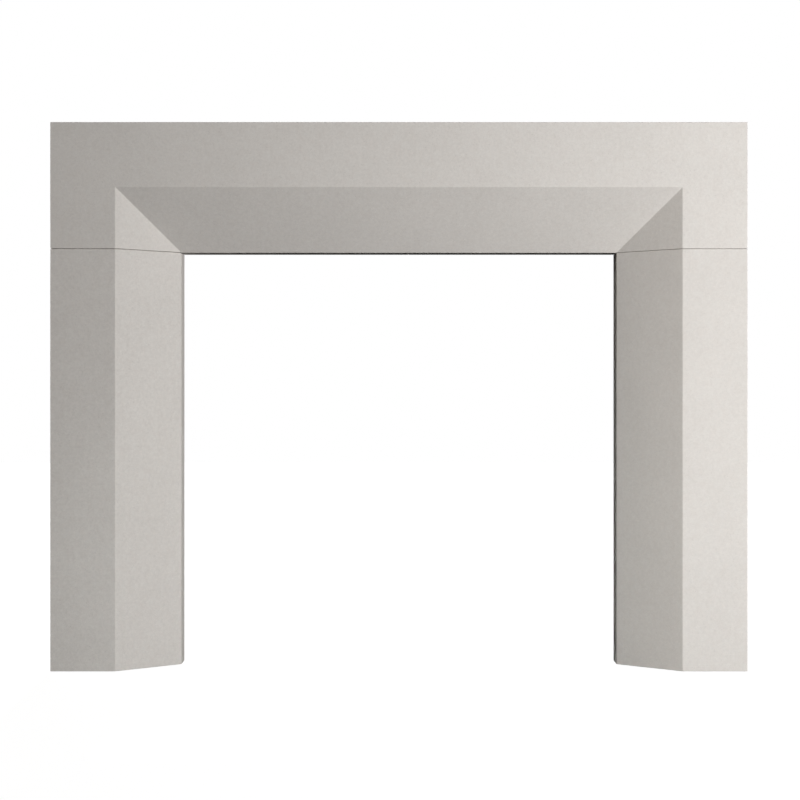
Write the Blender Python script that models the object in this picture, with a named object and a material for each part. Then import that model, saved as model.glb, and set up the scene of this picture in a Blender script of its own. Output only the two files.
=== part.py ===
"""A fireplace mantelpiece in cast stone: a header block laid across two legs, with one wide splay round the opening.

Metres, +Z up. The front faces -Y and the flat back, at +Y, goes against the chimney breast.
The origin is on the floor, under the middle of the mantelpiece.
"""

import math

import bmesh
import bpy

# The opening between the legs and under the header, at the back of the splay.
OPENING_WIDTH = 1.074
OPENING_HEIGHT = 1.016

# The flat band that runs up the legs and across the header on the front.
FACE_BAND = 0.156

# The splay is the slope from the band back to the opening. Its widths are as seen from the front.
LEG_SPLAY = 0.1452
HEADER_SPLAY = 0.1488
SPLAY_DEPTH = 0.100

# The straight reveal runs from the splay to the back of the stone.
REVEAL_DEPTH = 0.052

# The eased edge of every block, and the hairline of the bed joint between the header and a leg.
ARRIS = 0.0012
BED_JOINT = 0.0003

# The splay's cutter runs on past both ends of the slope by this share of it, and this far below the floor.
CUTTER_OVERRUN = 0.4
CUTTER_BELOW_FLOOR = 0.05

# Edges that turn by more than this are eased.
EASED_FROM_DEG = 15.0

# Light warm grey cast stone: linear colour, roughness and metallic value.
STONE_COLOUR = (0.60, 0.575, 0.545, 1.0)
STONE_ROUGHNESS = 0.85
STONE_METALLIC = 0.0

LEG_WIDTH = FACE_BAND + LEG_SPLAY
HEADER_HEIGHT = FACE_BAND + HEADER_SPLAY
HEADER_LENGTH = OPENING_WIDTH + 2 * LEG_WIDTH
DEPTH = SPLAY_DEPTH + REVEAL_DEPTH
FRONT_Y = -DEPTH / 2


def clear_scene():
    """Removes every object that the scene starts with."""
    for obj in list(bpy.data.objects):
        bpy.data.objects.remove(obj)


def stone(name):
    """The cast stone of one block."""
    material = bpy.data.materials.new(name)
    material.use_nodes = True
    shader = material.node_tree.nodes["Principled BSDF"]
    shader.inputs["Base Color"].default_value = STONE_COLOUR
    shader.inputs["Roughness"].default_value = STONE_ROUGHNESS
    shader.inputs["Metallic"].default_value = STONE_METALLIC
    material.diffuse_color = STONE_COLOUR
    return material


def add_object(name, mesh, location):
    """Puts a mesh in the scene as a named object at its place."""
    obj = bpy.data.objects.new(name, mesh)
    obj.location = location
    bpy.context.scene.collection.objects.link(obj)
    return obj


def block(name, width, height, location):
    """A squared block of the mantelpiece's full depth. Its origin is in the middle of its underside."""
    bm = bmesh.new()
    bmesh.ops.create_cube(bm, size=1.0)
    bmesh.ops.translate(bm, verts=bm.verts, vec=(0, 0, 0.5))
    bmesh.ops.scale(bm, verts=bm.verts, vec=(width, DEPTH, height))
    mesh = bpy.data.meshes.new(name)
    bm.to_mesh(mesh)
    bm.free()
    mesh.materials.append(stone(f"{name}_stone"))
    return add_object(name, mesh, location)


def splay_loop(bm, along):
    """One rectangle of the splay's funnel, where along is 0 at the front face and 1 at the reveal."""
    half = OPENING_WIDTH / 2 + LEG_SPLAY * (1 - along)
    top = OPENING_HEIGHT + HEADER_SPLAY * (1 - along)
    y = FRONT_Y + SPLAY_DEPTH * along
    corners = [(-half, -CUTTER_BELOW_FLOOR), (half, -CUTTER_BELOW_FLOOR), (half, top), (-half, top)]
    face = bm.faces.new([bm.verts.new((x, y, z)) for x, z in corners])
    return face.edges[:]


def splay_cutter():
    """The funnel that all three blocks are cut by, so that their slopes line up and meet at a mitre."""
    bm = bmesh.new()
    front = splay_loop(bm, -CUTTER_OVERRUN)
    back = splay_loop(bm, 1 + CUTTER_OVERRUN)
    bmesh.ops.bridge_loops(bm, edges=front + back)
    bmesh.ops.recalc_face_normals(bm, faces=bm.faces)
    mesh = bpy.data.meshes.new("splay_cutter")
    bm.to_mesh(mesh)
    bm.free()
    cutter = add_object("splay_cutter", mesh, (0, 0, 0))
    cutter.display_type = "WIRE"
    cutter.hide_render = True
    return cutter


def cut_splay(obj, cutter):
    """Cuts the splay from a block."""
    cut = obj.modifiers.new("splay", "BOOLEAN")
    cut.operation = "DIFFERENCE"
    cut.solver = "EXACT"
    cut.object = cutter


def ease_edges(obj):
    """Takes the sharp arris off every edge of a block, as its mould does."""
    ease = obj.modifiers.new("arris", "BEVEL")
    ease.width = ARRIS
    ease.segments = 1
    ease.limit_method = "ANGLE"
    ease.angle_limit = math.radians(EASED_FROM_DEG)


def leg(name, side, cutter):
    """A leg, standing on the floor at one side of the opening. Its head takes the header."""
    middle = side * (OPENING_WIDTH + LEG_WIDTH) / 2
    obj = block(name, LEG_WIDTH, OPENING_HEIGHT - BED_JOINT, (middle, 0, 0))
    cut_splay(obj, cutter)
    ease_edges(obj)


def header(cutter):
    """The header, bedded on both legs. The top corners of the splay are mitred in this one block."""
    obj = block("header", HEADER_LENGTH, HEADER_HEIGHT, (0, 0, OPENING_HEIGHT))
    cut_splay(obj, cutter)
    ease_edges(obj)


def main():
    clear_scene()
    cutter = splay_cutter()
    leg("left_leg", -1, cutter)
    leg("right_leg", 1, cutter)
    header(cutter)


main()
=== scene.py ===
"""The looks of a cast-stone fireplace mantelpiece: a header on two legs, with a splay round the opening.

Metres, +Z up. The front faces -Y and the camera looks along +Y, as in the photograph.
Each block is its profile carried along its length, with its arrises eased, in fine matt cast stone.
"""

import logging
import math
from dataclasses import dataclass, field
from enum import Enum

import bmesh
import bpy
import numpy as np
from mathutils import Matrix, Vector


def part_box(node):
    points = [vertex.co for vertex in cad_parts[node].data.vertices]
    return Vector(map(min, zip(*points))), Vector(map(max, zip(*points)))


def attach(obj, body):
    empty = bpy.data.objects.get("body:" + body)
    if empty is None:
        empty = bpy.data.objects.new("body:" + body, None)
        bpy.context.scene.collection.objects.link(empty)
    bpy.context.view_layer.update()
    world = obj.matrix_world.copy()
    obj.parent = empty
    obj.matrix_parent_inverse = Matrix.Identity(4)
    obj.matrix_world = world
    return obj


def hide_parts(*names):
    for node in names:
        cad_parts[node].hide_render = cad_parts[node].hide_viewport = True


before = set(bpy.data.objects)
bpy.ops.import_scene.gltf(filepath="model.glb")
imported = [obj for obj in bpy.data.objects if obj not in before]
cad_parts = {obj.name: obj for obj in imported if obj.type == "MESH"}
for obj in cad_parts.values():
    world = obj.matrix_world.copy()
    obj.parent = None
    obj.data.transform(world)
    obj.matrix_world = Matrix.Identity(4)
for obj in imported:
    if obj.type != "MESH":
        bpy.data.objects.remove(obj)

LOG = logging.getLogger("mantelpiece")


class Side(Enum):
    """Which end of the mantelpiece a leg stands at, as seen from the front."""

    LEFT = -1
    RIGHT = 1


@dataclass(frozen=True)
class Stonework:
    """The sizes that the three blocks share, read from the frame where it has them.

    The slope's widths are what the flat band leaves of each block. An arris against the wall is sharper.
    Each leg bears on the middle of its head alone, and the header's bed is that much higher round it, which
    leaves a thin dark joint: bed_lifts gives how much, over each leg. The easing wanders by a share of
    itself, is never under least_arris, and reads its waves corner_step apart at neighbouring corners.
    """

    band: float = 0.156
    splay_depth: float = 0.100
    arris: float = 0.0012
    wall_arris: float = 0.0004
    least_arris: float = 0.00001
    arris_wander: float = 0.25
    corner_step: float = 3.0
    bed_lifts: tuple[float, float] = (0.0009, 0.0006)
    half_length: float = field(default_factory=lambda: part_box("header")[1].x)
    half_opening: float = field(default_factory=lambda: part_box("right_leg")[0].x)
    front: float = field(default_factory=lambda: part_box("header")[0].y)
    back: float = field(default_factory=lambda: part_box("header")[1].y)
    opening_height: float = field(default_factory=lambda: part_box("header")[0].z)
    top: float = field(default_factory=lambda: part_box("header")[1].z)

    @property
    def splay_half_width(self) -> float:
        """Half the width of the opening where the splay starts, at the front face."""
        return self.half_length - self.band

    @property
    def splay_top(self) -> float:
        """Height at which the header's splay starts, at the front face."""
        return self.top - self.band

    def bed_lift(self, x: np.ndarray) -> np.ndarray:
        """How much higher the header's bed is at each x: nothing over the opening, all of it over a leg."""
        over_leg = np.clip((np.abs(x) - self.half_opening) / (self.arris / 2), 0, 1)
        return over_leg * np.where(x < 0, *self.bed_lifts)

    def easing(self, at_wall: list[bool], drawn_in: np.ndarray, along: np.ndarray, seed: int) -> np.ndarray:
        """How far each corner of a block's sections is eased, which wanders a little along the block.

        It is the arris times 1 plus slow waves along the block, with other phases at each corner.

        Args:
            at_wall: for each corner, whether it lies against the wall.
            drawn_in: how far each section is drawn in, which leaves that much less to ease.
            along: where each section lies along the block.
            seed: which waves the easing follows.

        Returns:
            Sections by corners.
        """
        whole = np.where(at_wall, self.wall_arris, self.arris)
        places = self.corner_step * np.arange(len(at_wall))
        wander = 1 + slow_waves(along[:, None], places, seed, self.arris_wander)
        return np.maximum(whole * wander - drawn_in[:, None], self.least_arris)


@dataclass(frozen=True)
class GridLines:
    """How closely the grid lines of a surface lie."""

    step: float = 0.012
    beside_crease: tuple[float, ...] = (0.0015, 0.005)
    around_arris: int = 4

    def along(self, length: float) -> np.ndarray:
        """Shares of an edge at which its grid lines lie: even steps, with closer lines beside each end.

        Args:
            length: the edge's full length, in metres.

        Returns:
            Rising shares strictly between 0 and 1.
        """
        margin = np.array(self.beside_crease) / length
        inner = max(2, round((1 - 2 * margin[-1]) * length / self.step) + 1)
        middle = np.linspace(margin[-1], 1 - margin[-1], inner)
        return np.concatenate([margin[:-1], middle, 1 - margin[-2::-1]])

    def ease(self) -> np.ndarray:
        """Shares of the way round an eased arris at which its grid lines lie, from 0 to 1."""
        return np.linspace(0, 1, self.around_arris + 1)


def eased_profile(
    corners: np.ndarray, reach: np.ndarray, lengths: list[float], lines: GridLines
) -> np.ndarray:
    """Turns a stack of many-cornered sections into rings of points with their corners eased.

    Each corner becomes a parabola tangent to both of its edges: (1-s)^2 times the point before it, plus
    2s(1-s) times the corner, plus s^2 times the point after it. Those points lie at the corner's reach along
    each edge, or at just under half of an edge that is too short for it.

    Args:
        corners: sections by corners by 3, in order round the section.
        reach: how far along its edges each corner is eased, sections by corners.
        lengths: a typical length of the edge after each corner, which sets how many points lie on it.
        lines: the spacing of the grid lines.

    Returns:
        Sections by points by 3.
    """
    after = np.roll(corners, -1, axis=1)
    edge = after - corners
    edge_length = np.linalg.norm(edge, axis=2, keepdims=True)
    direction = edge / np.maximum(edge_length, 1e-9)
    leaving = corners + direction * np.minimum(reach[..., None], 0.49 * edge_length)
    arriving = after - direction * np.minimum(np.roll(reach, -1, axis=1)[..., None], 0.49 * edge_length)
    s = lines.ease()[None, :, None]
    rings = []
    for k, length in enumerate(lengths):
        before, corner, beyond = (a[:, None] for a in (arriving[:, k - 1], corners[:, k], leaving[:, k]))
        rings.append((1 - s) ** 2 * before + 2 * s * (1 - s) * corner + s**2 * beyond)
        share = lines.along(length)[None, :, None]
        rings.append(leaving[:, k, None] * (1 - share) + arriving[:, k, None] * share)
    return np.concatenate(rings, axis=1)


def slow_waves(a: np.ndarray, b: np.ndarray, seed: int, height: float = 0.00012) -> np.ndarray:
    """The slight unevenness that a mould leaves on a flat face.

    It is the mean of nine sines, times the root of nine. Their directions turn by the golden angle, and
    their wavelengths rise from the shortest to the longest.

    Args:
        a: first coordinate on the face, in metres.
        b: second coordinate on the face, in metres.
        seed: which set of phases to use.
        height: how far the face departs from flat, in metres.

    Returns:
        The departure at each point.
    """
    count, shortest, longest, golden_angle = 9, 0.13, 0.5, 137.5
    phase = np.random.default_rng(seed).uniform(0, 2 * math.pi, count)
    turn = np.arange(count) * math.radians(golden_angle)
    number = 2 * math.pi / np.geomspace(shortest, longest, count)
    along = np.multiply.outer(a, np.cos(turn) * number) + np.multiply.outer(b, np.sin(turn) * number)
    return height * np.sin(along + phase).mean(axis=-1) * math.sqrt(count)


def nearness(points: np.ndarray, creases: np.ndarray, reach: float) -> np.ndarray:
    """How near each point lies to the closest of some straight creases.

    The distance to a crease is that to its nearest point, and the value is exp(-(distance / reach)^2).

    Args:
        points: points by 3.
        creases: creases by 2 by 3, the two ends of each.
        reach: the distance over which the value falls to about a third, in metres.

    Returns:
        1 on a crease, falling to 0 away from it.
    """
    start, run = creases[:, 0], creases[:, 1] - creases[:, 0]
    gap = points[:, None] - start[None]
    share = np.clip((gap * run).sum(-1) / (run**2).sum(-1), 0, 1)
    distance = np.linalg.norm(gap - share[..., None] * run, axis=-1).min(axis=1)
    return np.exp(-((distance / reach) ** 2))


def closed_mesh(name: str, rings: np.ndarray) -> bpy.types.Mesh:
    """Joins rings of points into one closed skin with a flat face on its first and last ring.

    Args:
        name: the mesh's name.
        rings: rings by points by 3.

    Returns:
        The mesh, with its faces pointing out and its doubled points merged.
    """
    count, around = rings.shape[:2]
    index = np.arange(count * around).reshape(count, around)
    ahead = np.roll(index, -1, axis=1)
    quads = np.stack([index[:-1], ahead[:-1], ahead[1:], index[1:]], axis=-1).reshape(-1, 4)
    ends = index[[0, -1]].tolist()
    mesh = bpy.data.meshes.new(name)
    mesh.from_pydata(rings.reshape(-1, 3).tolist(), [], quads.tolist() + ends)
    bm = bmesh.new()
    bm.from_mesh(mesh)
    bmesh.ops.remove_doubles(bm, verts=bm.verts, dist=1e-6)
    bmesh.ops.dissolve_degenerate(bm, edges=bm.edges, dist=1e-7)
    bmesh.ops.recalc_face_normals(bm, faces=bm.faces)
    bm.to_mesh(mesh)
    bm.free()
    mesh.validate()
    mesh.shade_smooth()
    return mesh


def mark(
    mesh: bpy.types.Mesh, creases: np.ndarray, wall: float, reach: float = 0.003, skin: float = 0.0005
) -> None:
    """Stores on each point of a mesh the two values that its finish reads.

    One is how near the point lies to an arris. The other is 1 on the face against the wall, and falls evenly
    to 0 a skin's thickness in front of it.

    Args:
        mesh: the block's mesh.
        creases: the two ends of each arris.
        wall: y of the face against the wall.
        reach: how far the rubbed stone goes from an arris, in metres.
        skin: how deep the open face's finish goes, in metres.
    """
    points = np.empty(len(mesh.vertices) * 3)
    mesh.vertices.foreach_get("co", points)
    points = points.reshape(-1, 3)
    values = {
        CastStone.ARRIS: nearness(points, creases, reach),
        CastStone.OPEN_FACE: np.clip(1 - (wall - points[:, 1]) / skin, 0, 1),
    }
    for name, value in values.items():
        mesh.attributes.new(name, "FLOAT", "POINT").data.foreach_set("value", value.astype(np.float32))


Socket = bpy.types.NodeSocket


class NodeTree:
    """Adds nodes to a shader tree and links them, one call a node."""

    def __init__(self, tree: bpy.types.NodeTree) -> None:
        """Starts adding to a tree."""
        self.tree = tree

    def node(self, kind: str, settings: dict[str, object] | None = None, **inputs: object) -> bpy.types.Node:
        """Adds one node.

        Args:
            kind: the node's type.
            settings: values of the node's own properties.
            inputs: what goes into each socket, by its name in lower case with _ for spaces, or by input_ and
                its number: a socket to link, or a value to set.

        Returns:
            The node.
        """
        made = self.tree.nodes.new(kind)
        for key, value in (settings or {}).items():
            setattr(made, key, value)
        named = {socket.name.lower().replace(" ", "_"): socket for socket in reversed(made.inputs)}
        for key, value in inputs.items():
            socket = made.inputs[int(key[6:])] if key.startswith("input_") else named[key]
            if isinstance(value, Socket):
                self.tree.links.new(value, socket)
            else:
                socket.default_value = value
        return made

    def link(self, value: Socket, socket: Socket) -> None:
        """Leads one node's output into another's input."""
        self.tree.links.new(value, socket)

    def math(self, operation: str, a: object, b: object = 0.0, c: object = 0.0) -> Socket:
        """Adds a Math node with up to three operands and returns its result."""
        made = self.node("ShaderNodeMath", {"operation": operation}, input_0=a, input_1=b, input_2=c)
        return made.outputs[0]

    def per(self, size: Socket) -> Socket:
        """Returns a texture's scale for features of a size in metres."""
        return self.math("DIVIDE", 1.0, size)

    def noise(self, vector: Socket, scale: object, detail: float) -> Socket:
        """Adds a noise texture and returns its value, which lies round a half."""
        made = self.node("ShaderNodeTexNoise", vector=vector, scale=scale, detail=detail)
        return made.outputs["Fac"]

    def cells(self, vector: Socket, scale: Socket) -> tuple[Socket, list[Socket]]:
        """Adds a cellular texture.

        Args:
            vector: where on the stone.
            scale: cells a metre.

        Returns:
            The distance from the cell's middle, in cells, and three values from 0 to 1 that each cell has.
        """
        cell = self.node("ShaderNodeTexVoronoi", {"feature": "F1"}, vector=vector, scale=scale)
        parts = self.node("ShaderNodeSeparateColor", color=cell.outputs["Color"])
        return cell.outputs["Distance"], list(parts.outputs)

    def spots(self, given: dict[str, Socket]) -> tuple[Socket, Socket]:
        """Adds round spots at the middles of a share of the cells of a cellular texture.

        A spot is 1 over its inner two thirds and falls to 0 at its edge. It is up to Width across.

        Args:
            given: the inputs Vector, Spacing, Width and Share of the group that the spots are in.

        Returns:
            The spots, and a value from 0 to 1 that each has.
        """
        distance, (held, own, size) = self.cells(given["Vector"], self.per(given["Spacing"]))
        widest = self.math("DIVIDE", given["Width"], self.math("MULTIPLY", given["Spacing"], 2.0))
        radius = self.math("MULTIPLY", widest, size)
        inside = self.math("SUBTRACT", 1.0, self.math("DIVIDE", distance, radius))
        edge = self.math("MULTIPLY", self.math("MAXIMUM", inside, 0.0), 3.0)
        spot = self.math("MINIMUM", edge, 1.0)
        return self.math("MULTIPLY", spot, self.math("LESS_THAN", held, given["Share"])), own


class EffectGroup(NodeTree):
    """A shader node group with named inputs and outputs, which several materials share."""

    def __init__(self, name: str, takes: dict[str, float | tuple[float, ...]], gives: list[str]) -> None:
        """Starts the group.

        Args:
            name: the group's name.
            takes: its inputs besides Vector, with their usual values.
            gives: the names of its outputs, all plain values.
        """
        super().__init__(bpy.data.node_groups.new(name, "ShaderNodeTree"))
        for label, value in {"Vector": (0.0, 0.0, 0.0), **takes}.items():
            kind = "NodeSocketVector" if isinstance(value, tuple) else "NodeSocketFloat"
            socket = self.tree.interface.new_socket(name=label, in_out="INPUT", socket_type=kind)
            socket.default_value = value
        for label in gives:
            self.tree.interface.new_socket(name=label, in_out="OUTPUT", socket_type="NodeSocketFloat")
        entry = self.node("NodeGroupInput")
        self.given = {socket.name: socket for socket in entry.outputs if socket.name}
        self.out = self.node("NodeGroupOutput").inputs


class StoneEffects:
    """The effects that every block's finish is mixed from, each a node group built once.

    FINER is how many times finer the roughness on a grain is than the grain, CLUSTER how many clusters there
    are to a grain's width, DOME how much a grain's own height adds to its dome, and DARK the dark share of
    the coarse grains.
    """

    FINER = 2.3
    CLUSTER = 0.16
    DOME = 0.5
    DARK = 0.55

    def __init__(self) -> None:
        """Builds the groups."""
        self.cloud = self._cloud()
        self.grain = self._grain()
        self.specks = self._specks()
        self.holes = self._holes()
        self.rub = self._rub()
        self.struck = self._struck()

    @staticmethod
    def _cloud() -> bpy.types.NodeTree:
        """Soft mottling where the mix cured unevenly: broad clouds, and the small patches within them.

        Returns:
            The group's tree.
        """
        group = EffectGroup("cured_clouds", {"Cloud": 0.12, "Patch": 0.012}, ["Cloud", "Patch"])
        given = group.given
        group.link(group.noise(given["Vector"], group.per(given["Cloud"]), 3.0), group.out["Cloud"])
        group.link(group.noise(given["Vector"], group.per(given["Patch"]), 2.0), group.out["Patch"])
        return group.tree

    @staticmethod
    def _grain() -> bpy.types.NodeTree:
        """Sand in the face: each cell of a cellular pattern is a grain with its own tone and height.

        The mix lies in loose clusters of lighter and darker grains, a few grains wide.

        Returns:
            The group's tree.
        """
        group = EffectGroup("sand_grain", {"Grain": 0.001}, ["Tone", "Cluster", "Height"])
        scale = group.per(group.given["Grain"])
        distance, (tone, lift, _) = group.cells(group.given["Vector"], scale)
        finer = group.math("MULTIPLY", scale, StoneEffects.FINER)
        fine = group.noise(group.given["Vector"], finer, 2.0)
        dome = group.math("MULTIPLY", group.math("SUBTRACT", 1.0, distance), fine)
        group.link(tone, group.out["Tone"])
        group.link(group.math("MULTIPLY_ADD", lift, StoneEffects.DOME, dome), group.out["Height"])
        coarser = group.math("MULTIPLY", scale, StoneEffects.CLUSTER)
        group.link(group.noise(group.given["Vector"], coarser, 1.0), group.out["Cluster"])
        return group.tree

    @staticmethod
    def _specks() -> bpy.types.NodeTree:
        """Single coarse grains that stand out of the sand: 1 for a light one, -1 for a dark one.

        Returns:
            The group's tree.
        """
        group = EffectGroup("coarse_specks", {"Spacing": 0.0035, "Width": 0.003, "Share": 0.25}, ["Speck"])
        spot, own = group.spots(group.given)
        light = group.math("GREATER_THAN", own, StoneEffects.DARK)
        sign = group.math("MULTIPLY_ADD", light, 2.0, -1.0)
        group.link(group.math("MULTIPLY", spot, sign), group.out["Speck"])
        return group.tree

    @staticmethod
    def _holes() -> bpy.types.NodeTree:
        """Holes left by air in the mix: a few cells of a cellular pattern hold one, at their middles.

        Returns:
            The group's tree.
        """
        group = EffectGroup("air_holes", {"Spacing": 0.006, "Width": 0.0014, "Share": 0.4}, ["Hole"])
        group.link(group.spots(group.given)[0], group.out["Hole"])
        return group.tree

    @staticmethod
    def _rub() -> bpy.types.NodeTree:
        """Rubbed arrises: nearness to an arris, broken up by a noise along its length.

        Returns:
            The group's tree.
        """
        group = EffectGroup("rubbed_arris", {"Nearness": 0.0, "Length": 0.02}, ["Rub"])
        broken = group.noise(group.given["Vector"], group.per(group.given["Length"]), 3.0)
        group.link(group.math("MULTIPLY", group.given["Nearness"], broken), group.out["Rub"])
        return group.tree

    @staticmethod
    def _struck() -> bpy.types.NodeTree:
        """The open face of the mould, struck off with a straight edge, which leaves ridges the way it went.

        The ridges are a noise stretched by Spread. Their value is about -0.5 to 0.5 where Mask is 1.

        Returns:
            The group's tree.
        """
        group = EffectGroup("struck_face", {"Spread": (0.3, 1.0, 0.01), "Mask": 0.0}, ["Ridge"])
        given = group.given
        drawn = group.node(
            "ShaderNodeVectorMath", {"operation": "DIVIDE"}, input_0=given["Vector"], input_1=given["Spread"]
        )
        ridge = group.math("SUBTRACT", group.noise(drawn.outputs[0], 1.0, 3.0), 0.5)
        group.link(group.math("MULTIPLY", ridge, given["Mask"]), group.out["Ridge"])
        return group.tree


@dataclass(frozen=True)
class CastStone:
    """Smooth cast limestone, light warm grey and matt, with a rougher face against the wall.

    Depths are shares of the stone's own tone, and the contrast scales them all. The offset moves the
    pattern, so that no two blocks are alike. Heights are in reliefs. The spread is the size of the open
    face's ridges. The roughness rises by up to roughness_range over a grain's tone. The air holes and the
    open face's pits are dented by the bump and also darkened in the tone: that darkening is painted shade.
    """

    ARRIS = "arris"
    OPEN_FACE = "open_face"

    warm: tuple[float, float, float, float] = (0.670, 0.636, 0.608, 1.0)
    cool: tuple[float, float, float, float] = (0.652, 0.636, 0.615, 1.0)
    cloud_size: float = 0.13
    patch_size: float = 0.014
    grain_size: float = 0.0011
    cloud_depth: float = 0.04
    patch_depth: float = 0.045
    cluster_depth: float = 0.07
    grain_depth: float = 0.04
    speck_depth: float = 0.09
    # painted shade: how much darker the air holes are coloured, for the shade that falls in them
    hole_painted_shade: float = 0.30
    rub_depth: float = 0.03
    ridge_depth: float = 0.10
    # painted shade: how much darker the open face's pits are coloured, for the shade that falls in them
    pit_painted_shade: float = 0.12
    pit_spacing: float = 0.012
    pit_width: float = 0.008
    pit_share: float = 0.5
    relief: float = 0.00012
    relief_strength: float = 0.7
    roughness: float = 0.80
    roughness_range: float = 0.12
    specular: float = 0.3
    hole_height: float = -3.0
    ridge_height: float = 6.0
    pit_height: float = -5.0
    contrast: float = 1.0
    offset: tuple[float, float, float] = (0.0, 0.0, 0.0)
    spread: tuple[float, float, float] = (0.3, 1.0, 0.01)

    def place_effects(self, tree: NodeTree, effects: StoneEffects) -> dict[str, Socket]:
        """Places the shared effects on one block.

        Args:
            tree: the material's tree.
            effects: the shared node groups.

        Returns:
            Each effect's value, by a name of its own.
        """
        place = tree.node("ShaderNodeTexCoord").outputs["Object"]
        moved = tree.node("ShaderNodeMapping", vector=place, location=self.offset).outputs[0]
        near = tree.node("ShaderNodeAttribute", {"attribute_name": self.ARRIS}).outputs["Fac"]
        open_face = tree.node("ShaderNodeAttribute", {"attribute_name": self.OPEN_FACE}).outputs["Fac"]

        def effect(group: bpy.types.NodeTree, **values: object) -> bpy.types.bpy_prop_collection:
            """Places one group and returns its outputs."""
            return tree.node("ShaderNodeGroup", {"node_tree": group}, vector=moved, **values).outputs

        cloud = effect(effects.cloud, cloud=self.cloud_size, patch=self.patch_size)
        grain = effect(effects.grain, grain=self.grain_size)
        pit = effect(effects.holes, spacing=self.pit_spacing, width=self.pit_width, share=self.pit_share)
        return {
            "cloud": cloud["Cloud"],
            "patch": cloud["Patch"],
            "grain": grain["Tone"],
            "cluster": grain["Cluster"],
            "sand": grain["Height"],
            "speck": effect(effects.specks)["Speck"],
            "hole": effect(effects.holes)["Hole"],
            "rub": effect(effects.rub, nearness=near)["Rub"],
            "ridge": effect(effects.struck, spread=self.spread, mask=open_face)["Ridge"],
            "pit": tree.math("MULTIPLY", pit["Hole"], open_face),
        }

    def tone(self, tree: NodeTree, effect: dict[str, Socket]) -> Socket:
        """The stone's tone: 1 plus each effect, less its own mean, times its depth.

        Args:
            tree: the material's tree.
            effect: the effects' values.

        Returns:
            The tone.
        """
        departures = [
            ("cloud", 0.5, 2 * self.cloud_depth),
            ("patch", 0.5, 2 * self.patch_depth),
            ("cluster", 0.5, 2 * self.cluster_depth),
            ("grain", 0.5, 2 * self.grain_depth),
            ("speck", 0.0, self.speck_depth),
            # painted shade in the air holes, over their real dip in the bump
            ("hole", 0.0, -self.hole_painted_shade),
            ("rub", 0.0, self.rub_depth),
            ("ridge", 0.0, self.ridge_depth),
            # painted shade in the open face's pits, over their real dip in the bump
            ("pit", 0.0, -self.pit_painted_shade),
        ]
        total = 1.0
        for name, mean, depth in departures:
            departure = tree.math("SUBTRACT", effect[name], mean)
            total = tree.math("MULTIPLY_ADD", departure, depth * self.contrast, total)
        return total

    def height(self, tree: NodeTree, effect: dict[str, Socket]) -> Socket:
        """The face's relief: the sand's own, less the holes and pits, plus the ridges of the open face.

        Args:
            tree: the material's tree.
            effect: the effects' values.

        Returns:
            The height, in reliefs.
        """
        heights = {"hole": self.hole_height, "ridge": self.ridge_height, "pit": self.pit_height}
        total = effect["sand"]
        for name, height in heights.items():
            total = tree.math("MULTIPLY_ADD", effect[name], height, total)
        return total

    def material(self, name: str, effects: StoneEffects) -> bpy.types.Material:
        """Mixes the finish of one block: the tone scales a colour that drifts between warm and cool stone.

        Args:
            name: the material's name.
            effects: the shared node groups.

        Returns:
            The material.
        """
        made = bpy.data.materials.new(name)
        made.use_nodes = True
        tree = NodeTree(made.node_tree)
        effect = self.place_effects(tree, effects)
        drift = tree.node("ShaderNodeMix", {"data_type": "RGBA"}, factor=effect["patch"])
        drift.inputs[6].default_value, drift.inputs[7].default_value = self.warm, self.cool
        tone, height = self.tone(tree, effect), self.height(tree, effect)
        colour = tree.node(
            "ShaderNodeVectorMath", {"operation": "SCALE"}, input_0=drift.outputs[2], scale=tone
        )
        bump = tree.node(
            "ShaderNodeBump", strength=self.relief_strength, distance=self.relief, height=height
        )
        shader = made.node_tree.nodes["Principled BSDF"]
        tree.link(colour.outputs[0], shader.inputs["Base Color"])
        rough = tree.math("MULTIPLY_ADD", effect["grain"], self.roughness_range, self.roughness)
        tree.link(rough, shader.inputs["Roughness"])
        tree.link(bump.outputs[0], shader.inputs["Normal"])
        shader.inputs["Specular IOR Level"].default_value = self.specular
        return made


def dress(name: str, node: str, mesh: bpy.types.Mesh, material: bpy.types.Material) -> bpy.types.Object:
    """Puts a finished block in the scene in place of its CAD solid.

    Args:
        name: the piece's name.
        node: the CAD node that it stands for.
        mesh: its mesh, in place.
        material: its finish.

    Returns:
        The piece.
    """
    piece = bpy.data.objects.new(name, mesh)
    piece.data.materials.append(material)
    bpy.context.scene.collection.objects.link(piece)
    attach(piece, "root")
    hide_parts(node)
    LOG.info("%s: %d faces, in place of %s", name, len(mesh.polygons), node)
    return piece


def uneven(rings: np.ndarray, sizes: Stonework) -> np.ndarray:
    """Moves the points of a block by the slight unevenness of its mould.

    The depth changes by slow waves over the front, which die away to the flat back, and the sides sway by
    waves up their height, with seeds of their own. Heights don't change, so that the beds stay flat, and
    joined faces stay level.

    Args:
        rings: points of a block, in place.
        sizes: the sizes that the blocks share.

    Returns:
        The moved points.
    """
    sides, front = 3, 8
    x, y, z = np.moveaxis(rings, -1, 0)
    # The wall side stays flat, so that the piece still stands against the wall.
    towards_front = (sizes.back - y) / (sizes.back - sizes.front)
    outwards = x / sizes.half_length
    moved_x = x - slow_waves(y, z, sides) * outwards
    moved_y = y + slow_waves(x, z, front) * towards_front
    return np.stack([moved_x, moved_y, z], axis=-1)


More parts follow.
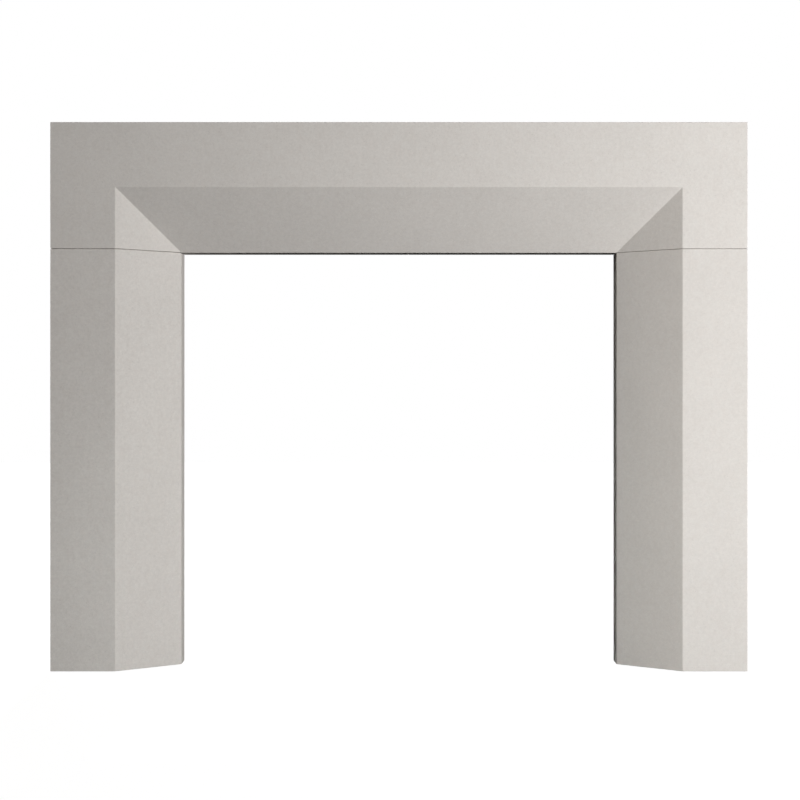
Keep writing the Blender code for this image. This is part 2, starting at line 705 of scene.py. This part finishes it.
@dataclass
class Header:
    """The block across the top, with the splay's two mitred corners cast in it."""

    sizes: Stonework
    easing_seed: int = 21
    lines: GridLines = field(default_factory=GridLines)

    def share_of_slope(self, x: np.ndarray) -> np.ndarray:
        """How far down the legs' slope the plane at each x lies: 0 at the front face, 1 over the opening.

        It rises evenly from the band to the opening, and a parabola as long as the easing rounds each of its
        two bends.

        Args:
            x: places along the header.

        Returns:
            The shares.
        """
        s = self.sizes
        width = s.splay_half_width - s.half_opening
        inward = s.splay_half_width - np.abs(x)

        def ramp(v: np.ndarray) -> np.ndarray:
            """Nothing below 0 and v itself above it, with a parabola round the bend between them."""
            bend = (np.clip(v, -s.arris, s.arris) + s.arris) ** 2 / (4 * s.arris)
            return np.where(v > s.arris, v, bend)

        return (ramp(inward) - ramp(inward - width)) / width

    def stations(self) -> tuple[np.ndarray, np.ndarray]:
        """Places along the header at which its section is drawn.

        Returns:
            Each place's x, and how far the section is drawn in there, which rounds the two ends' arrises.
        """
        s = self.sizes
        ease = self.lines.ease()
        bend = s.arris * np.array([-1, -0.5, 0, 0.5, 1])
        middle = self.lines.along(2 * s.half_opening)
        slope = self.lines.along(s.splay_half_width - s.half_opening)
        band = self.lines.along(s.band)
        half = np.concatenate(
            [
                s.half_opening + bend,
                s.half_opening + slope * (s.splay_half_width - s.half_opening),
                s.splay_half_width + bend,
                s.splay_half_width + band * s.band,
            ]
        )
        ends = s.half_length - s.arris * (1 - ease) ** 2
        inset = s.arris * ease**2
        x = np.concatenate([-ends[::-1], -half[::-1], (2 * middle - 1) * s.half_opening, half, ends])
        drawn_in = np.concatenate([inset[::-1], np.zeros(len(x) - 2 * len(inset)), inset])
        return x, drawn_in

    def corners(self, x: np.ndarray, drawn_in: np.ndarray) -> np.ndarray:
        """The six corners of the header's section at each place.

        In order: back foot, back head, front head, the splay's upper arris, the valley where the header's
        slope meets the legs' slope, and front foot. The valley runs down the mitre and reaches the foot at
        the opening.

        Args:
            x: places along the header.
            drawn_in: how far the section is drawn in at each.

        Returns:
            Places by 6 by 3.
        """
        s = self.sizes
        share = self.share_of_slope(x)
        front, back = s.front + drawn_in, s.back - drawn_in
        foot, head = s.opening_height + s.bed_lift(x) + drawn_in, s.top - drawn_in
        valley_y = front + s.splay_depth * share
        upper = np.full_like(x, s.splay_top)
        valley_z = np.maximum(s.splay_top - (s.splay_top - s.opening_height) * share, foot)
        upright = [(back, foot), (back, head), (front, head), (front, upper)]
        section = [*upright, (valley_y, valley_z), (valley_y, foot)]
        return np.stack([np.stack([x, y, z], axis=-1) for y, z in section], axis=1)

    def arrises(self) -> np.ndarray:
        """The convex edges of the block.

        Returns:
            Edges by 2 by 3, the two ends of each.
        """
        s = self.sizes
        ends = self.corners(np.array([-s.half_length, s.half_length]), np.zeros(2))
        long_edges = [(ends[0, k], ends[1, k]) for k in (0, 1, 2)]
        end_edges = [(ends[e, k - 1], ends[e, k]) for e in (0, 1) for k in (0, 1, 2, 5)]
        splay_edges = []
        for side in (-1, 1):
            upper = (side * s.splay_half_width, s.front, s.splay_top)
            lower = (side * s.splay_half_width, s.front, s.opening_height)
            inner = (side * s.half_opening, s.front + s.splay_depth, s.opening_height)
            outer = (side * s.half_length, s.front, s.opening_height)
            splay_edges += [(upper, lower), (lower, inner), (lower, outer)]
        for reach, y, z in (
            (s.splay_half_width, s.front, s.splay_top),
            (s.half_opening, s.front + s.splay_depth, s.opening_height),
        ):
            splay_edges.append(((-reach, y, z), (reach, y, z)))
        return np.array([*long_edges, *end_edges, *splay_edges])

    def mesh(self) -> bpy.types.Mesh:
        """The header's skin: its section carried along X.

        Returns:
            The mesh, with the values that its finish reads.
        """
        s = self.sizes
        x, drawn_in = self.stations()
        depth, height = s.back - s.front, s.top - s.opening_height
        slope = math.hypot(s.splay_depth, s.splay_top - s.opening_height)
        lengths = [height, depth, s.band, slope, s.splay_top - s.opening_height, depth]
        reach = s.easing([True, True, False, False, False, False], drawn_in, x, self.easing_seed)
        rings = eased_profile(self.corners(x, drawn_in), reach, lengths, self.lines)
        mesh = closed_mesh("header_stone", uneven(rings, s))
        mark(mesh, self.arrises(), s.back)
        return mesh

    def build(self, effects: StoneEffects) -> bpy.types.Object:
        """Makes the block and dresses it."""
        material = CastStone().material("header_cast_stone", effects)
        return dress("header_block", "header", self.mesh(), material)


@dataclass
class Leg:
    """One upright, which carries an end of the header on a low bearing, set in from the edge of its head.

    Its stone's pattern is moved out and back from the header's, and the ridges of its open face run up its
    length.
    """

    sizes: Stonework
    side: Side
    node: str
    contrast: float
    pattern_out: float = 2.0
    pattern_back: float = 0.7
    ridges: tuple[float, float, float] = (0.01, 1.0, 0.3)
    easing_seed: int = 33
    bearing_margin: float = 0.015
    lines: GridLines = field(default_factory=GridLines)

    def corners(self, z: np.ndarray, drawn_in: np.ndarray) -> np.ndarray:
        """The five corners of the leg's section at each height.

        In order: outer back, outer front, the splay's outer arris, the splay's inner arris, and inner back.
        Drawing the section in moves each of its edges inwards by the same distance, and its corners to where
        they meet.

        Args:
            z: heights.
            drawn_in: how far the section is drawn in at each.

        Returns:
            Heights by 5 by 3.
        """
        s = self.sizes
        inner_y = s.front + s.splay_depth
        plan = np.array(
            [
                (s.half_length, s.back),
                (s.half_length, s.front),
                (s.splay_half_width, s.front),
                (s.half_opening, inner_y),
                (s.half_opening, s.back),
            ]
        )
        edge = np.roll(plan, -1, axis=0) - plan
        inward = np.stack([edge[:, 1], -edge[:, 0]], axis=1) / np.linalg.norm(edge, axis=1, keepdims=True)
        middle = plan.mean(axis=0)
        inward *= np.sign(((middle - plan) * inward).sum(axis=1, keepdims=True))
        before = np.roll(inward, 1, axis=0)
        mitre = (before + inward) / (1 + (before * inward).sum(axis=1, keepdims=True))
        section = plan[None] + drawn_in[:, None, None] * mitre[None]
        heights = np.broadcast_to(z[:, None, None], (len(z), len(plan), 1))
        x = self.side.value * section[..., :1]
        return np.concatenate([x, section[..., 1:], heights], axis=-1)

    def mesh(self) -> bpy.types.Mesh:
        """The leg's skin: its section carried up Z, eased at foot and head, with the bearing on top.

        Returns:
            The mesh, with the values that its finish reads.
        """
        s = self.sizes
        low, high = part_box(self.node)[0].z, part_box(self.node)[1].z
        bearing = high + s.bed_lifts[self.side is Side.RIGHT]
        ease = self.lines.ease()
        rise, inset = s.arris * (1 - ease) ** 2, s.arris * ease**2
        middle = low + self.lines.along(high - low) * (high - low)
        z = np.concatenate([(low + rise)[::-1], middle, high - rise, [high, bearing]])
        margin = np.full(2, self.bearing_margin)
        drawn_in = np.concatenate([inset[::-1], np.zeros(len(middle)), inset, margin])
        slope = math.hypot(s.splay_depth, s.splay_half_width - s.half_opening)
        depth = s.back - s.front
        lengths = [depth, s.band, slope, depth - s.splay_depth, s.half_length - s.half_opening]
        seed = self.easing_seed + self.side.value
        reach = s.easing([True, False, False, False, True], drawn_in, z, seed)
        rings = eased_profile(self.corners(z, drawn_in), reach, lengths, self.lines)
        mesh = closed_mesh(f"{self.node}_stone", uneven(rings, s))
        ends = self.corners(np.array([low, high]), np.zeros(2))
        uprights = [(ends[0, k], ends[1, k]) for k in range(5)]
        rims = [(ends[e, k - 1], ends[e, k]) for e in (0, 1) for k in range(5)]
        mark(mesh, np.array(uprights + rims), s.back)
        return mesh

    def build(self, effects: StoneEffects) -> bpy.types.Object:
        """Makes the block and dresses it.

        Args:
            effects: the shared node groups.

        Returns:
            The piece.
        """
        offset = (self.pattern_out * self.side.value, self.pattern_back, 0.0)
        finish = CastStone(contrast=self.contrast, offset=offset, spread=self.ridges)
        material = finish.material(f"{self.node}_cast_stone", effects)
        return dress(f"{self.node}_block", self.node, self.mesh(), material)


@dataclass(frozen=True)
class Softbox:
    """A studio light that stands on an arc round the middle of the mantelpiece and faces it.

    The azimuth is 0 straight in front and 90 to the viewer's right. The height is its middle's, and it is
    width wide and tall high. A grid on its front narrows its beam to the spread, in degrees.
    """

    name: str
    azimuth: float
    distance: float
    height: float
    width: float
    tall: float
    power: float
    colour: tuple[float, float, float]
    spread: float = 180.0

    def hang(self, front: float) -> bpy.types.Object:
        """Puts the light up.

        Args:
            front: y of the mantelpiece's front face.

        Returns:
            The light.
        """
        data = bpy.data.lights.new(self.name, "AREA")
        data.shape, data.size, data.size_y = "RECTANGLE", self.width, self.tall
        data.energy, data.color, data.spread = self.power, self.colour, math.radians(self.spread)
        lamp = bpy.data.objects.new(self.name, data)
        turn = math.radians(self.azimuth)
        lamp.location = (self.distance * math.sin(turn), front - self.distance * math.cos(turn), self.height)
        lamp.rotation_euler = (math.pi / 2, 0, turn)
        lamp.visible_camera = False
        bpy.context.scene.collection.objects.link(lamp)
        return lamp


@dataclass(frozen=True)
class BackLight:
    """A far light behind and above, which reaches the back and the top, and no face seen in the photograph."""

    name: str = "back_light"
    elevation: float = 45.0
    softness: float = 3.0
    strength: float = 2.8

    def hang(self) -> bpy.types.Object:
        """Puts the light up.

        Returns:
            The light.
        """
        data = bpy.data.lights.new(self.name, "SUN")
        data.energy, data.angle = self.strength, math.radians(self.softness)
        lamp = bpy.data.objects.new(self.name, data)
        lamp.rotation_euler = (math.radians(self.elevation - 90), 0, 0)
        bpy.context.scene.collection.objects.link(lamp)
        return lamp


@dataclass(frozen=True)
class PhotoCamera:
    """A level camera in front of the opening, at about half the mantelpiece's height.

    pixel is the real width of one pixel of the picture at the front face.
    """

    distance: float = 3.655
    eye_height: float = 0.6525
    aside: float = 0.0026
    pixel: float = 0.0024038
    frame_pixels: int = 800

    def stand(self, front: float) -> bpy.types.Object:
        """Sets the camera up as the scene's camera.

        Args:
            front: y of the mantelpiece's front face.

        Returns:
            The camera.
        """
        data = bpy.data.cameras.new("photo_camera")
        data.lens = data.sensor_width * self.distance / (self.pixel * self.frame_pixels)
        camera = bpy.data.objects.new("photo_camera", data)
        camera.location = (self.aside, front - self.distance, self.eye_height)
        camera.rotation_euler = (math.pi / 2, 0, 0)
        bpy.context.scene.collection.objects.link(camera)
        bpy.context.scene.camera = camera
        return camera


@dataclass
class Studio:
    """A plain white studio: a soft key from the right, two lights from the left, and one behind.

    Two low lights with grids reach the feet, and leave the underside of the header in the dark. The floor is
    grey, and its glow brings it up to nearly white.
    """

    front: float
    floor_half: float = 12.0
    floor_grey: float = 0.08
    floor_glow: float = 0.955
    floor_roughness: float = 0.9
    surround_light: float = 0.006
    boxes: tuple[Softbox, ...] = (
        Softbox("key", 40, 4.0, 1.0, 0.5, 0.5, 161.5, (1.0, 0.988, 0.969)),
        Softbox("left_high", -85, 6.0, 2.0, 1.0, 1.0, 33.0, (1.0, 0.923, 0.825)),
        Softbox("left_side", -87, 6.0, 1.35, 0.6, 0.6, 67.3, (1.0, 0.923, 0.825)),
        Softbox("right_foot", 50, 4.0, 0.12, 0.2, 0.2, 0.22, (0.946, 1.0, 0.985), spread=26),
        Softbox("left_foot", -50, 4.0, 0.12, 0.2, 0.2, 0.61, (0.946, 1.0, 0.985), spread=26),
    )
    back_light: BackLight = field(default_factory=BackLight)

    def surround(self) -> None:
        """A white surround for the camera, which sheds only a little light on the stone."""
        world = bpy.data.worlds.new("studio")
        world.use_nodes = True
        bpy.context.scene.world = world
        tree = NodeTree(world.node_tree)
        background = world.node_tree.nodes["Background"]
        seen = tree.node("ShaderNodeLightPath").outputs["Is Camera Ray"]
        shade = tree.node("ShaderNodeMix", {"data_type": "RGBA"}, factor=seen)
        shade.inputs[6].default_value = (*[self.surround_light] * 3, 1.0)
        shade.inputs[7].default_value = (1.0, 1.0, 1.0, 1.0)
        tree.link(shade.outputs[2], background.inputs["Color"])

    def floor(self) -> bpy.types.Object:
        """A pale floor that glows, as a lit sweep does, and throws no light back up at the stone.

        Returns:
            The floor.
        """
        reach = self.floor_half
        mesh = bpy.data.meshes.new("floor")
        corners = [(-reach, -reach, 0), (reach, -reach, 0), (reach, reach, 0), (-reach, reach, 0)]
        mesh.from_pydata(corners, [], [(0, 1, 2, 3)])
        material = bpy.data.materials.new("pale_floor")
        material.use_nodes = True
        shader = material.node_tree.nodes["Principled BSDF"]
        shader.inputs["Base Color"].default_value = (*[self.floor_grey] * 3, 1.0)
        shader.inputs["Roughness"].default_value = self.floor_roughness
        shader.inputs["Emission Color"].default_value = (1.0, 1.0, 1.0, 1.0)
        shader.inputs["Emission Strength"].default_value = self.floor_glow
        mesh.materials.append(material)
        sheet = bpy.data.objects.new("floor", mesh)
        sheet.visible_diffuse = sheet.visible_glossy = False
        bpy.context.scene.collection.objects.link(sheet)
        return sheet

    def build(self) -> None:
        """Lights the scene and sets up the camera, the floor and the surround."""
        self.surround()
        self.floor()
        for light in self.boxes:
            light.hang(self.front)
        self.back_light.hang()
        PhotoCamera().stand(self.front)
        scene = bpy.context.scene
        scene.view_settings.view_transform = "Standard"
        scene.view_settings.look = "None"


def main() -> None:
    """Builds the three blocks and the studio, in order."""
    logging.basicConfig(level=logging.INFO, format="%(name)s: %(message)s")
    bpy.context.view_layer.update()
    sizes = Stonework()
    effects = StoneEffects()
    Leg(sizes, Side.LEFT, "left_leg", contrast=1.12).build(effects)
    Leg(sizes, Side.RIGHT, "right_leg", contrast=0.85).build(effects)
    Header(sizes).build(effects)
    Studio(sizes.front).build()


if __name__ == "__main__":
    main()
